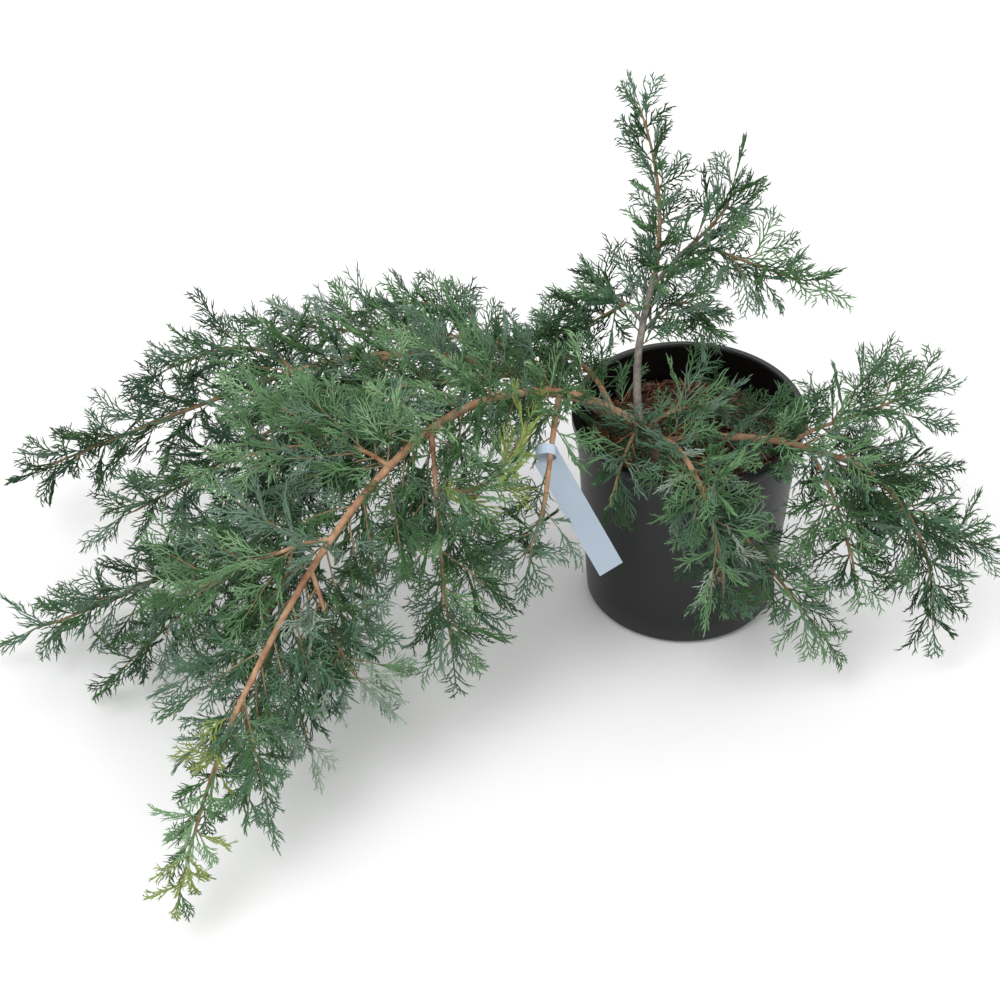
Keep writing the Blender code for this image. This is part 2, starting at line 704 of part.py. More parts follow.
def main():
    clear_scene()
    make_pot()
    make_soil()
    limbs = {}
    make_trunk(limbs)
    make_boughs(limbs)
    make_label(limbs)
    stems = {n: stem_of(limbs, *row, STEM_RADIUS) for n, row in MASSES.items()}
    tips = {name: Vector(row[2]) for name, row in MASSES.items()}
    space = Space(stems, tips, limbs, label_blocks(limbs))
    for name, (_, _, _, spread) in MASSES.items():
        fuse(name, grow(name, stems[name], spread, space), "foliage")


main()
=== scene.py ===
"""The looks of the spreading blue juniper in its black nursery pot.

Row frame: metres, +Z up, the origin in the middle of the pot's flat underside. The limbs and the
masses of foliage follow the tables of the CAD source, carried on here to fine twigs and fronds.
"""

import math
import random

import bpy
import numpy as np
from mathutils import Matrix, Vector, noise


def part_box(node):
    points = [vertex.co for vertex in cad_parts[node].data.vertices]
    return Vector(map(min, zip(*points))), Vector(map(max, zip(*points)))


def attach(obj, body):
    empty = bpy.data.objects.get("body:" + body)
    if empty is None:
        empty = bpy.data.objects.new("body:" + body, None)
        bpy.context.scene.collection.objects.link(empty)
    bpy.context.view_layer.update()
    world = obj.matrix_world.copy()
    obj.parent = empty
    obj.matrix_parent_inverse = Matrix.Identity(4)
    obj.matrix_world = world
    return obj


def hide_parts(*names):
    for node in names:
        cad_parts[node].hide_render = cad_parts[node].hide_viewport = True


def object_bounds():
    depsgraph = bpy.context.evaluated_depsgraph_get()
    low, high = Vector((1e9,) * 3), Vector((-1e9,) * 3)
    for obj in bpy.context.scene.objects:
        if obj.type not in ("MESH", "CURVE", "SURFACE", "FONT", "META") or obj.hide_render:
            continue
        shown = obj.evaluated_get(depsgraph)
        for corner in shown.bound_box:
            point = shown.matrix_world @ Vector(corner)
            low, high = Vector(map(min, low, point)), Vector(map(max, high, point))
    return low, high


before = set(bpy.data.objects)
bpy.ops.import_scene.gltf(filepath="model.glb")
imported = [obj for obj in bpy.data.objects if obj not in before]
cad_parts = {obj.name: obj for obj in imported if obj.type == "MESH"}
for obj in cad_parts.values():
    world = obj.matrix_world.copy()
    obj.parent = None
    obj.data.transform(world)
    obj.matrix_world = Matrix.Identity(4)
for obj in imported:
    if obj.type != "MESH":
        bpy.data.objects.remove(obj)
CAD_BOUNDS = [list(corner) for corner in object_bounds()]

# Pot with an overhanging lip, and the heights of the rings of its skin outside and inside. The
# skin ends a hair short of the axis.
POT_HEIGHT = 0.225
RIM_RADIUS = 0.115
FOOT_RADIUS = 0.095
POT_WALL = 0.0025
FOOT_CHAMFER = 0.006
FLOOR_FILLET = 0.003
LIP_DEPTH = 0.012
LIP_OVERHANG = 0.004
POT_SIDES = 144
LIP_ROUND = 0.002
WALL_HEIGHTS = (0.03, 0.06, 0.09, 0.12, 0.15, 0.18, POT_HEIGHT - LIP_DEPTH - LIP_ROUND)
INNER_HEIGHTS = (0.22, 0.20, 0.18, 0.10, POT_WALL)
AXIS_RADIUS = 0.0004

# Fill: its level, the mound at the back right, its rings, and how rough it is
SOIL_LEVEL = 0.182
MOUND_HEIGHT = 0.014
MOUND_PLACE = (0.030, 0.045)
MOUND_RADIUS = 0.050
SOIL_RINGS = 46
SOIL_SIDES = 160
SOIL_SINK = 0.0006
SOIL_EDGE_GAP = 0.0006
ROUGH_SCALE = 38
ROUGH_HEIGHT = 0.0042

# Loose bark chips and coir fibres on the fill: how many, the chips' share, their sizes, leans and
# bows, the clear distance from the wall, and each colour with its weight
SLIVERS = 5200
CHIP_SHARE = 0.16
CHIP_LENGTHS, CHIP_WIDTHS, CHIP_LEAN, CHIP_FLATNESS = (0.005, 0.012), (0.002, 0.0045), 0.3, 0.45
FIBRE_LENGTHS, FIBRE_WIDTHS, FIBRE_LEAN = (0.006, 0.026), (0.0003, 0.0009), 0.75
SLIVER_DIP = -0.2
SLIVER_LIFT = 0.003
SLIVER_BOWS = (-0.12, 0.22)
SLIVER_RINGS = ((-0.5, 0.5), (0.0, 1.0), (0.5, 0.35))
STREWN_GAP = 0.004
SLIVER_GAP = 0.001
MULCH = {
    "coir red": ((116, 68, 48), 5),
    "coir pale": ((158, 116, 86), 3),
    "bark chip": ((84, 58, 44), 4),
    "bark grey": ((120, 106, 92), 2),
    "bark dark": ((48, 35, 28), 3),
}

# Trunk, from the fill to its fork
TRUNK_FOOT = (-0.026, -0.024, SOIL_LEVEL + 0.0003)
TRUNK_TOP = (-0.050, -0.024, 0.231)
TRUNK_RADIUS = 0.0105
TRUNK_FLARE = 1.5
TRUNK_TAPER = 0.78
TRUNK_BEND = 0.003
TRUNK_STEP = 0.0015

# Boughs: parent, share of the parent's length where it leaves, tip, share of the run where it
# bends, how far it is arched up and swayed to the right there, radius at its root and its tip
BOUGHS = {
    "leader": ("trunk", 1.00, (-0.038, 0.023, 0.370), 0.5, -0.005, -0.008, 0.0042, 0.0030),
    "leader_right": ("leader", 0.90, (0.006, 0.032, 0.410), 0.5, 0.003, 0.0, 0.0022, 0.0017),
    "leader_left": ("leader", 0.66, (-0.072, 0.034, 0.335), 0.5, 0.003, 0.0, 0.0018, 0.0014),
    "leader_low": ("leader", 0.58, (-0.020, 0.036, 0.326), 0.5, 0.003, 0.0, 0.0018, 0.0014),
    "left": ("trunk", 0.25, (-0.400, 0.050, 0.230), 0.5, 0.050, 0.018, 0.0054, 0.0028),
    "left_middle": ("left", 0.70, (-0.362, 0.010, 0.232), 0.5, 0.004, 0.0, 0.0026, 0.0020),
    "back_left": ("left", 0.26, (-0.232, 0.070, 0.262), 0.5, 0.010, 0.010, 0.0036, 0.0024),
    "near_back": ("left", 0.12, (-0.118, 0.034, 0.266), 0.5, 0.008, 0.004, 0.0028, 0.0020),
    "upper_middle": ("left", 0.34, (-0.206, -0.018, 0.278), 0.5, 0.004, 0.0, 0.0024, 0.0019),
    "low_left": ("left", 0.56, (-0.372, -0.060, 0.188), 0.5, 0.016, -0.006, 0.0032, 0.0022),
    "front_left": ("trunk", 0.72, (-0.419, -0.366, 0.170), 0.25, 0.082, 0.083, 0.0054, 0.0024),
    "fan": ("front_left", 0.52, (-0.320, -0.120, 0.274), 0.5, 0.003, 0.0, 0.0024, 0.0020),
    "outer_side": ("front_left", 0.68, (-0.384, -0.226, 0.238), 0.5, 0.003, 0.0, 0.0024, 0.0019),
    "inner": ("front_left", 0.42, (-0.244, -0.158, 0.246), 0.5, 0.003, 0.0, 0.0026, 0.0020),
    "low_front": ("front_left", 0.74, (-0.342, -0.276, 0.208), 0.5, 0.003, 0.0, 0.0024, 0.0019),
    "near_left": ("front_left", 0.17, (-0.142, -0.142, 0.238), 0.5, 0.010, 0.0, 0.0032, 0.0022),
    "right": ("trunk", 0.38, (0.160, -0.090, 0.226), 0.5, 0.026, 0.006, 0.0042, 0.0026),
    "right_upper": ("right", 0.66, (0.132, -0.048, 0.246), 0.5, 0.003, 0.0, 0.0022, 0.0018),
    "right_low": ("right", 0.74, (0.132, -0.118, 0.208), 0.5, 0.004, 0.0, 0.0020, 0.0016),
    "front": ("trunk", 0.52, (0.004, -0.138, 0.236), 0.5, 0.020, 0.0, 0.0036, 0.0024),
}

# Bark: the rings' step, the sides of thick and thin limbs, how far and how finely it stands out
BOUGH_STEP = 0.0025
THICK_BOUGH = 0.004
THICK_SIDES = 20
THIN_SIDES = 12
BARK_RELIEF = 0.13
BARK_RIDGES = 160.0
BARKS = {
    "old bark": ((92, 70, 56), (176, 150, 128), 90.0),
    "tan bark": ((128, 84, 58), (196, 160, 128), 70.0),
    "grey bark": ((86, 80, 76), (160, 152, 144), 90.0),
}
TWIG_BARK = ((98, 84, 60), (160, 136, 102), 120.0)

# Masses of foliage: bough that carries it, whether it carries on from the bough's tip or
# leaves beside it, furthest tip, spread round its stem
MASSES = {
    "top_shoot": ("leader", "on", (-0.058, 0.082, 0.560), 0.040),
    "right_shoot_upper": ("leader_right", "on", (0.058, 0.068, 0.472), 0.046),
    "right_shoot_outer": ("leader_right", "beside", (0.132, -0.016, 0.374), 0.050),
    "left_shoot": ("leader_left", "on", (-0.141, 0.060, 0.322), 0.040),
    "low_right_shoot": ("leader_low", "on", (0.044, 0.022, 0.308), 0.036),
    "left_tip": ("left", "on", (-0.695, 0.050, 0.090), 0.054),
    "left_back": ("left", "beside", (-0.556, 0.120, 0.192), 0.052),
    "left_middle_spray": ("left_middle", "on", (-0.592, -0.052, 0.104), 0.060),
    "back_left_outer": ("back_left", "on", (-0.452, 0.150, 0.224), 0.058),
    "back_left_upper": ("back_left", "beside", (-0.345, 0.135, 0.270), 0.050),
    "near_back_outer": ("near_back", "beside", (-0.270, 0.118, 0.256), 0.054),
    "near_back_upper": ("near_back", "on", (-0.158, 0.092, 0.292), 0.046),
    "upper_middle_spray": ("upper_middle", "on", (-0.420, -0.016, 0.256), 0.066),
    "low_left_outer": ("low_left", "on", (-0.674, -0.140, 0.034), 0.060),
    "low_left_front": ("low_left", "beside", (-0.574, -0.204, 0.034), 0.058),
    "fan_spray": ("fan", "on", (-0.486, -0.084, 0.226), 0.072),
    "young_shoot": ("inner", "beside", (-0.130, -0.092, 0.284), 0.040),
    "outer_side_upper": ("outer_side", "on", (-0.524, -0.196, 0.140), 0.066),
    "outer_side_lower": ("outer_side", "beside", (-0.486, -0.310, 0.116), 0.056),
    "inner_lower": ("inner", "on", (-0.226, -0.256, 0.086), 0.066),
    "inner_upper": ("inner", "beside", (-0.196, -0.176, 0.128), 0.050),
    "low_front_inner": ("low_front", "on", (-0.288, -0.310, 0.094), 0.058),
    "low_front_hanging": ("low_front", "beside", (-0.368, -0.356, 0.080), 0.040),
    "front_left_tip": ("front_left", "on", (-0.475, -0.502, 0.045), 0.034),
    "front_left_hanging": ("front_left", "beside", (-0.404, -0.404, 0.064), 0.034),
    "near_left_spray": ("near_left", "on", (-0.176, -0.158, 0.126), 0.046),
    "rim_left": ("leader_left", "beside", (-0.148, 0.020, 0.276), 0.046),
    "right_tip": ("right", "on", (0.258, -0.146, 0.050), 0.050),
    "right_outer": ("right", "beside", (0.304, -0.088, 0.104), 0.048),
    "right_upper_spray": ("right_upper", "on", (0.256, 0.024, 0.246), 0.062),
    "right_low_spray": ("right_low", "on", (0.168, -0.150, 0.094), 0.046),
    "front_spray": ("front", "on", (0.040, -0.160, 0.078), 0.054),
    "front_low_right": ("front", "beside", (0.143, -0.156, 0.048), 0.038),
    "front_rim_spray": ("trunk", "beside", (-0.092, -0.156, 0.226), 0.050),
    "over_soil_right": ("trunk", "beside", (0.088, -0.014, 0.256), 0.050),
}

# Leafy side shoots: bough, share of its length where they begin and end, how far they reach,
# whether they keep off its upper side, and the mass whose colours they take
SHOOTS = (
    ("leader", 0.50, 1.00, 0.030, False, "top_shoot"),
    ("leader_right", 0.20, 1.00, 0.044, False, "right_shoot_upper"),
    ("leader_left", 0.20, 1.00, 0.038, False, "left_shoot"),
    ("leader_low", 0.20, 1.00, 0.036, False, "low_right_shoot"),
    ("left", 0.20, 1.00, 0.060, False, "upper_middle_spray"),
    ("left_middle", 0.05, 1.00, 0.072, False, "left_middle_spray"),
    ("back_left", 0.10, 1.00, 0.050, False, "back_left_outer"),
    ("near_back", 0.10, 1.00, 0.046, False, "near_back_outer"),
    ("upper_middle", 0.05, 1.00, 0.070, False, "upper_middle_spray"),
    ("low_left", 0.10, 1.00, 0.080, False, "low_left_front"),
    ("front_left", 0.10, 0.44, 0.074, False, "fan_spray"),
    ("front_left", 0.12, 0.46, 0.060, False, "upper_middle_spray"),
    ("front_left", 0.44, 0.97, 0.088, True, "inner_lower"),
    ("fan", 0.05, 1.00, 0.070, False, "fan_spray"),
    ("fan", 0.05, 1.00, 0.078, False, "fan_spray"),
    ("fan", 0.05, 1.00, 0.086, False, "fan_spray"),
    ("outer_side", 0.05, 1.00, 0.078, False, "outer_side_upper"),
    ("inner", 0.10, 1.00, 0.076, True, "inner_upper"),
    ("low_front", 0.10, 1.00, 0.064, False, "low_front_inner"),
    ("near_left", 0.10, 0.70, 0.050, False, "near_left_spray"),
    ("right", 0.36, 1.00, 0.060, False, "right_outer"),
    ("right", 0.30, 0.95, 0.048, False, "right_upper_spray"),
    ("right_upper", 0.10, 1.00, 0.062, False, "right_upper_spray"),
    ("right_low", 0.10, 1.00, 0.050, False, "right_low_spray"),
    ("front", 0.20, 1.00, 0.056, False, "front_spray"),
    ("front", 0.30, 1.00, 0.048, False, "front_low_right"),
)

# Share of the CAD's spread that slim or low masses take. Their fronds are shorter too.
SLIM = {
    "top_shoot": 0.52,
    "front_left_tip": 0.58,
    "front_left_hanging": 0.75,
    "back_left_upper": 0.66,
    "near_back_upper": 0.60,
    "near_back_outer": 0.80,
    "upper_middle_spray": 0.85,
    "right_shoot_upper": 0.85,
}
SHOOT_STEP = 0.0125

# The rule by which a mass branches, as in the CAD source but at finer steps
TURN = math.radians(137.5)
ROOT_ANGLE = math.radians(58)
TIP_ANGLE = math.radians(36)
FLATNESS = 0.75
SIDE_STEM_DROP = 0.011
STEM_RADIUS = 0.0020
STEM_THICKEST = 1.3
STEM_TAPER = 0.55
STEM_LEAD = 0.5
STEM_LIFT = 0.9
STEM_BEND = 0.4
END_BASE = 0.024
END_SHARE = 0.5
OUTLINE_SCALE = 1.28
OUTLINE_ROOT = 0.45
OUTLINE_RISE = 1.6
OUTLINE_END = 1.04
OUTLINE_BLUNT = 0.6
ROUTE_POINTS = 33
TWIG_STEP = 0.0115
TWIG_FIRST = 0.02
TWIG_LAST = 0.98
TWIG_RADIUS = 0.0010
TWIG_TAPER = 0.5
TWIG_POINTS = 9
TWIG_RING_STEP = 0.012
TWIG_RELIEF = 0.08
TWIG_RIDGES = 300.0
TWIG_DROOPS = (-0.10, 0.16)
TWIG_LEAST = 0.012
STEM_RING_STEP = 0.005
TURN_WOBBLE = 0.3
UPPER_SIDE = -0.1
FLIPPED_ON = 0.2
LEAST_SINE = 0.6
REACHES = (0.72, 1.0)
SHOOT_REACHES = (0.6, 1.0)
SHOOT_LEAST = 0.014

# Fronds: where they leave a twig, their lengths, and how they lean, lift and shrink to fit
FROND_STEP = 0.0120
FROND_FIRST = 0.14
FROND_SIZES = (0.036, 0.058)
FROND_THICKNESS = 0.00080
FROND_KINDS = 8
FROND_LEANS = (52, 32)
FROND_LIFTS = (-0.10, 0.22)
FROND_SHRINKS = (1.0, 0.75, 0.55)
FROND_RUN_OUT = 0.8
FROND_WANE = 0.25
FROND_STRAY = 0.5
ONE_TONE_SHARE = 0.6

# A frond of unit length: its core, side cords and their forks. Widths are at a cord's root and
# middle, in units of FROND_THICKNESS.
CORE_WIDTHS = (1.25, 0.7)
SIDE_WIDTHS = (1.05, 0.6)
FORK_WIDTHS = (0.9, 0.5)
CORE_BOW = 0.06
SIDE_BOW = 0.10
CORD_MIDDLE = 0.55
SIDE_CORDS = 9
SIDE_CORD_FIRST = 0.10
SIDE_CORD_SPAN = 0.76
SIDE_CORD_SHIFT = 0.03
SIDE_CORD_TILT = 0.55
SIDE_CORD_LENGTH = 0.62
SIDE_CORD_WANE = 0.34
SIDE_CORD_SIZES = (0.8, 1.15)
SIDE_CORD_ANGLES = (24, 40)
FORKS = ((0.28, 1), (0.50, -1), (0.70, 1))
FORK_ANGLES = (20, 36)
FORK_MISSED = 0.30
FORK_LENGTH = 0.72
FORK_WANE = 0.40
FORK_SIZES = (0.8, 1.2)
FORK_STRAY = 0.25
GROW_SPREAD = 1.12

# Clear distance that fronds keep from limbs, pot and soil, ground and the CAD's bounds
LIMB_MARGIN = 0.0010
POT_MARGIN = 0.0015
GROUND_CLEARANCE = 0.004
EDGE_MARGIN = 0.002
LIP_ZONE = 0.02
LINE_SKIP = 6

# Lines from the label toward the camera that fronds keep off, so that it stays in view
LABEL_MARGIN = 0.013
LABEL_CORNER = 0.012
LABEL_STEPS = 6
LABEL_STEP = (0, -0.018, 0.015)

# Foliage colours in sRGB, and the masses where each palette is dealt out. The dark palette is
# painted shade on the low left masses, and the light palette is painted light on the upper sprays.
TONES = {
    "sage": (106, 142, 100),
    "pale_sage": (134, 168, 124),
    "green": (74, 108, 68),
    "deep_green": (48, 76, 46),
    "blue_green": (82, 114, 88),
    "blue_grey": (104, 130, 110),
    "dusk": (52, 78, 56),
    "spring": (140, 158, 88),
    "silver": (160, 176, 160),
}
PALETTES = {
    "middle": ("green", "blue_green", "sage", "deep_green", "blue_grey"),
    # light: paler greens, dealt out as painted light
    "light": ("pale_sage", "sage", "sage", "green", "blue_grey"),
    # dark: darker greens, dealt out as painted shade
    "dark": ("dusk", "deep_green", "blue_green", "green", "blue_grey"),
    "bright": ("spring", "sage", "green", "spring", "pale_sage"),
    "frosted": ("silver", "blue_grey", "blue_green", "sage", "dusk"),
}
PLACED = {
    # painted light: the upper sprays take the light palette for their lit tops
    "light": ("fan_spray", "upper_middle_spray", "outer_side_upper", "inner_upper"),
    # painted shade: the low left masses lie under and behind the crown, so they take the dark
    # palette
    "dark": ("left_tip", "left_back", "left_middle_spray", "low_left_outer", "low_left_front"),
    "bright": ("young_shoot", "front_left_tip"),
    "frosted": ("low_front_inner", "low_front_hanging", "back_left_outer", "front_spray"),
}

# Crown parts that are joined into one piece each
GROUPS = {
    "leader": ("leader", "leader_right", "leader_left", "leader_low"),
    "left": ("left", "left_middle", "low_left"),
    "back": ("back_left", "near_back", "upper_middle"),
    "fan": ("fan", "outer_side"),
    "front_left": ("front_left", "low_front", "near_left", "inner"),
    "right": ("right", "right_upper", "right_low"),
    "front": ("front", "trunk"),
}

# Studio: lamps with their place, size and power, what they aim at, and the photo's camera
LAMPS = (
    ("key", (-1.2, -1.6, 2.6), 1.6, 48.0),
    ("fill", (1.8, -1.0, 1.8), 2.0, 16.0),
    ("rim", (0.2, 2.0, 2.2), 1.6, 14.0),
)
LAMP_AIM = (-0.2, -0.1, 0.2)
SKY_STRENGTH = 0.78
CAMERA_PLACE = (-0.185, -2.003, 1.791)
CAMERA_TILT = 50
CAMERA_LENS = 93.6
CAMERA_SENSOR = 36

UP = Vector((0, 0, 1))


def linear(colour):
    """sRGB 0 to 255 as linear light."""
    shares = [c / 255 for c in colour]
    return tuple(s / 12.92 if s <= 0.04045 else ((s + 0.055) / 1.055) ** 2.4 for s in shares)


def plain_material(name, colour, roughness, spread=0.0, scale=60.0, bump=0.0, shine=0.4):
    """A Principled finish whose colour and height vary with noise in the object's own space."""
    made = bpy.data.materials.new(name)
    made.use_nodes = True
    tree = made.node_tree
    shader = tree.nodes["Principled BSDF"]
    shader.inputs["Roughness"].default_value = roughness
    shader.inputs["Specular IOR Level"].default_value = shine
    base = linear(colour)
    place = tree.nodes.new("ShaderNodeTexCoord")
    grain = tree.nodes.new("ShaderNodeTexNoise")
    grain.inputs["Scale"].default_value = scale
    grain.inputs["Detail"].default_value = 4
    tree.links.new(place.outputs["Object"], grain.inputs["Vector"])
    ramp = tree.nodes.new("ShaderNodeValToRGB")
    ramp.color_ramp.elements[0].position = 0.3
    ramp.color_ramp.elements[1].position = 0.7
    ramp.color_ramp.elements[0].color = (*(c * (1 - spread) for c in base), 1)
    ramp.color_ramp.elements[1].color = (*(min(1, c * (1 + spread)) for c in base), 1)
    tree.links.new(grain.outputs["Fac"], ramp.inputs["Fac"])
    tree.links.new(ramp.outputs["Color"], shader.inputs["Base Color"])
    if bump:
        relief = tree.nodes.new("ShaderNodeBump")
        relief.inputs["Strength"].default_value = bump
        relief.inputs["Distance"].default_value = 0.001
        tree.links.new(grain.outputs["Fac"], relief.inputs["Height"])
        tree.links.new(relief.outputs["Normal"], shader.inputs["Normal"])
    made.diffuse_color = (*base, 1)
    return made


def bark_material(name, low, high, scale):
    """Bark: noise between two colours, with relief."""
    made = plain_material(name, low, 0.85)
    tree = made.node_tree
    shader = tree.nodes["Principled BSDF"]
    ramp = next(n for n in tree.nodes if n.type == "VALTORGB")
    ramp.color_ramp.elements[0].color = (*linear(low), 1)
    ramp.color_ramp.elements[1].color = (*linear(high), 1)
    grain = next(n for n in tree.nodes if n.type == "TEX_NOISE")
    grain.inputs["Scale"].default_value = scale
    grain.inputs["Detail"].default_value = 8
    grain.inputs["Roughness"].default_value = 0.65
    relief = tree.nodes.new("ShaderNodeBump")
    relief.inputs["Strength"].default_value = 0.6
    relief.inputs["Distance"].default_value = 0.001
    tree.links.new(grain.outputs["Fac"], relief.inputs["Height"])
    tree.links.new(relief.outputs["Normal"], shader.inputs["Normal"])
    return made


def add_mesh(name, points, faces, materials, indices=None, smooth=True):
    mesh = bpy.data.meshes.new(name)
    points = np.asarray(points, dtype=np.float32)
    faces = np.asarray(faces, dtype=np.int32)
    corners = faces.shape[1]
    mesh.vertices.add(len(points))
    mesh.vertices.foreach_set("co", points.ravel())
    mesh.loops.add(faces.size)
    mesh.loops.foreach_set("vertex_index", faces.ravel())
    mesh.polygons.add(len(faces))
    mesh.polygons.foreach_set("loop_start", np.arange(0, faces.size, corners, dtype=np.int32))
    for material in materials:
        mesh.materials.append(material)
    if indices is not None:
        mesh.polygons.foreach_set("material_index", np.asarray(indices, dtype=np.int32))
    mesh.polygons.foreach_set("use_smooth", np.full(len(faces), smooth))
    mesh.update(calc_edges=True)
    mesh.validate()
    made = bpy.data.objects.new(name, mesh)
    bpy.context.scene.collection.objects.link(made)
    return made


def finish_piece(piece, slot, *nodes):
    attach(piece, "root")
    if nodes:
        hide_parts(*nodes)


def wall_radius(z):
    return FOOT_RADIUS + (RIM_RADIUS - LIP_OVERHANG - FOOT_RADIUS) * z / POT_HEIGHT


def inner_radius(z):
    top = wall_radius(POT_HEIGHT) - POT_WALL
    corner = wall_radius(POT_WALL) - POT_WALL - FLOOR_FILLET
    return corner + (top - corner) * (z - POT_WALL) / (POT_HEIGHT - POT_WALL)


def lathe(name, profile, sides, material):
    """Turns (radius, z) pairs round +Z into a skin of quads."""
    points, faces = [], []
    for radius, z in profile:
        for k in range(sides):
            turn = 2 * math.pi * k / sides
            points.append((radius * math.cos(turn), radius * math.sin(turn), z))
    for ring in range(len(profile) - 1):
        low, high = ring * sides, (ring + 1) * sides
        for k in range(sides):
            after = (k + 1) % sides
            faces.append((low + k, low + after, high + after, high + k))
    return add_mesh(name, points, faces, [material])


def rounded(low, high, bulge, count=6):
    """Points of a soft lip between two (radius, z) corners, bulged outward."""
    found = []
    for k in range(count + 1):
        t = k / count
        swell = bulge * math.sin(math.pi * t)
        found.append((low[0] + (high[0] - low[0]) * t + swell, low[1] + (high[1] - low[1]) * t))
    return found


def make_pot():
    lip_foot = POT_HEIGHT - LIP_DEPTH
    foot = FOOT_RADIUS - FOOT_CHAMFER
    profile = [(AXIS_RADIUS, 0.0), (foot, 0.0)]
    profile += rounded((foot, 0.0003), (wall_radius(FOOT_CHAMFER), FOOT_CHAMFER), 0.001)
    profile += [(wall_radius(z), z) for z in WALL_HEIGHTS]
    profile += [(wall_radius(lip_foot), lip_foot), (RIM_RADIUS - 0.001, lip_foot + 0.0006)]
    profile += [(RIM_RADIUS, lip_foot + LIP_ROUND), (RIM_RADIUS, POT_HEIGHT - LIP_ROUND)]
    rim, inner = (RIM_RADIUS, POT_HEIGHT - 0.0015), (inner_radius(POT_HEIGHT), POT_HEIGHT - 0.0006)
    profile += rounded(rim, inner, 0.0)
    profile += [(inner_radius(z), z) for z in INNER_HEIGHTS]
    profile.append((AXIS_RADIUS, POT_WALL))
    black = plain_material("pot plastic", (8, 9, 10), 0.40, spread=0.18, scale=9.0, bump=0.05)
    finish_piece(lathe("pot_shell", profile, POT_SIDES, black), "pot", "pot")


def soil_height(x, y):
    away = math.dist(MOUND_PLACE, (x, y)) / MOUND_RADIUS
    rise = MOUND_HEIGHT * max(0.0, 1 - away**2) ** 2
    rough = noise.fractal(Vector((x * ROUGH_SCALE, y * ROUGH_SCALE, 0.4)), 0.9, 2.1, 5)
    return SOIL_LEVEL + rise + ROUGH_HEIGHT * rough - SOIL_SINK


def make_soil():
    """The top of the fill, rough and broken."""
    edge = inner_radius(SOIL_LEVEL) - SOIL_EDGE_GAP
    points, faces = [(0, 0, soil_height(0, 0))], []
    for ring in range(1, SOIL_RINGS + 1):
        radius = edge * ring / SOIL_RINGS
        for k in range(SOIL_SIDES):
            turn = 2 * math.pi * k / SOIL_SIDES
            x, y = radius * math.cos(turn), radius * math.sin(turn)
            points.append((x, y, soil_height(x, y)))
    for ring in range(SOIL_RINGS - 1):
        low, high = 1 + ring * SOIL_SIDES, 1 + (ring + 1) * SOIL_SIDES
        for k in range(SOIL_SIDES):
            after = (k + 1) % SOIL_SIDES
            faces.append((low + k, high + k, high + after, low + after))
    for k in range(SOIL_SIDES):
        after = 1 + (k + 1) % SOIL_SIDES
        faces.append((0, 1 + k, after, after))
    dark = plain_material("peat", (46, 35, 28), 0.95, spread=0.5, scale=160.0, bump=0.8)
    ground = add_mesh("soil_top", points, faces, [dark], smooth=False)
    finish_piece(ground, "soil", "soil")
    strew_mulch(edge)


def strew_mulch(edge):
    """Slivers of bark and coir lie on the fill, each a bowed three-sided prism."""
    dice = random.Random("mulch")
    finishes = [
        plain_material(name, rgb, 0.9, spread=0.3, scale=300.0, bump=0.3)
        for name, (rgb, _) in MULCH.items()
    ]
    weights = [weight for _, weight in MULCH.values()]
    points, faces, indices = [], [], []
    for _ in range(SLIVERS):
        radius = (edge - STREWN_GAP) * math.sqrt(dice.random())
        turn = dice.uniform(0, 2 * math.pi)
        x, y = radius * math.cos(turn), radius * math.sin(turn)
        chip = dice.random() < CHIP_SHARE
        length = dice.uniform(*(CHIP_LENGTHS if chip else FIBRE_LENGTHS))
        width = dice.uniform(*(CHIP_WIDTHS if chip else FIBRE_WIDTHS))
        lean = dice.uniform(SLIVER_DIP, CHIP_LEAN if chip else FIBRE_LEAN)
        swing = dice.uniform(0, 2 * math.pi)
        level = math.cos(lean)
        run = Vector((level * math.cos(swing), level * math.sin(swing), math.sin(lean)))
        side = run.cross(UP).normalized()
        lift = side.cross(run)
        middle = Vector((x, y, soil_height(x, y) + dice.uniform(0.0, SLIVER_LIFT)))
        ends = (middle + run * (length / 2), middle - run * (length / 2))
        if any(math.hypot(end.x, end.y) > edge - SLIVER_GAP for end in ends):
            continue
        first = len(points)
        bow = lift * (length * dice.uniform(*SLIVER_BOWS))
        flat = CHIP_FLATNESS if chip else 1.0
        for at, size in SLIVER_RINGS:
            centre = middle + run * (length * at) + (bow if at == 0 else Vector())
            for k in range(3):
                angle = 2 * math.pi * k / 3
                out = side * math.cos(angle) + lift * (flat * math.sin(angle))
                points.append(centre + out * (width * size))
        tone = dice.choices(range(len(weights)), weights)[0]
        for ring in range(2):
            for k in range(3):
                low, after = first + 3 * ring, (k + 1) % 3
                faces.append((low + k, low + after, low + 3 + after, low + 3 + k))
                indices.append(tone)
    finish_piece(add_mesh("mulch", points, faces, finishes, indices), "soil")


def frame_of(along):
    """Two unit vectors square to a run: one level, one upward."""
    side = along.cross(UP)
    if side.length < 0.05:
        side = along.cross(Vector((0, 1, 0)))
    side.normalize()
    return side, side.cross(along).normalized()


def bent_route(start, bend, tip, count):
    shares = [k / (count - 1) for k in range(count)]
    return [start * (1 - t) ** 2 + bend * (2 * t * (1 - t)) + tip * t**2 for t in shares]


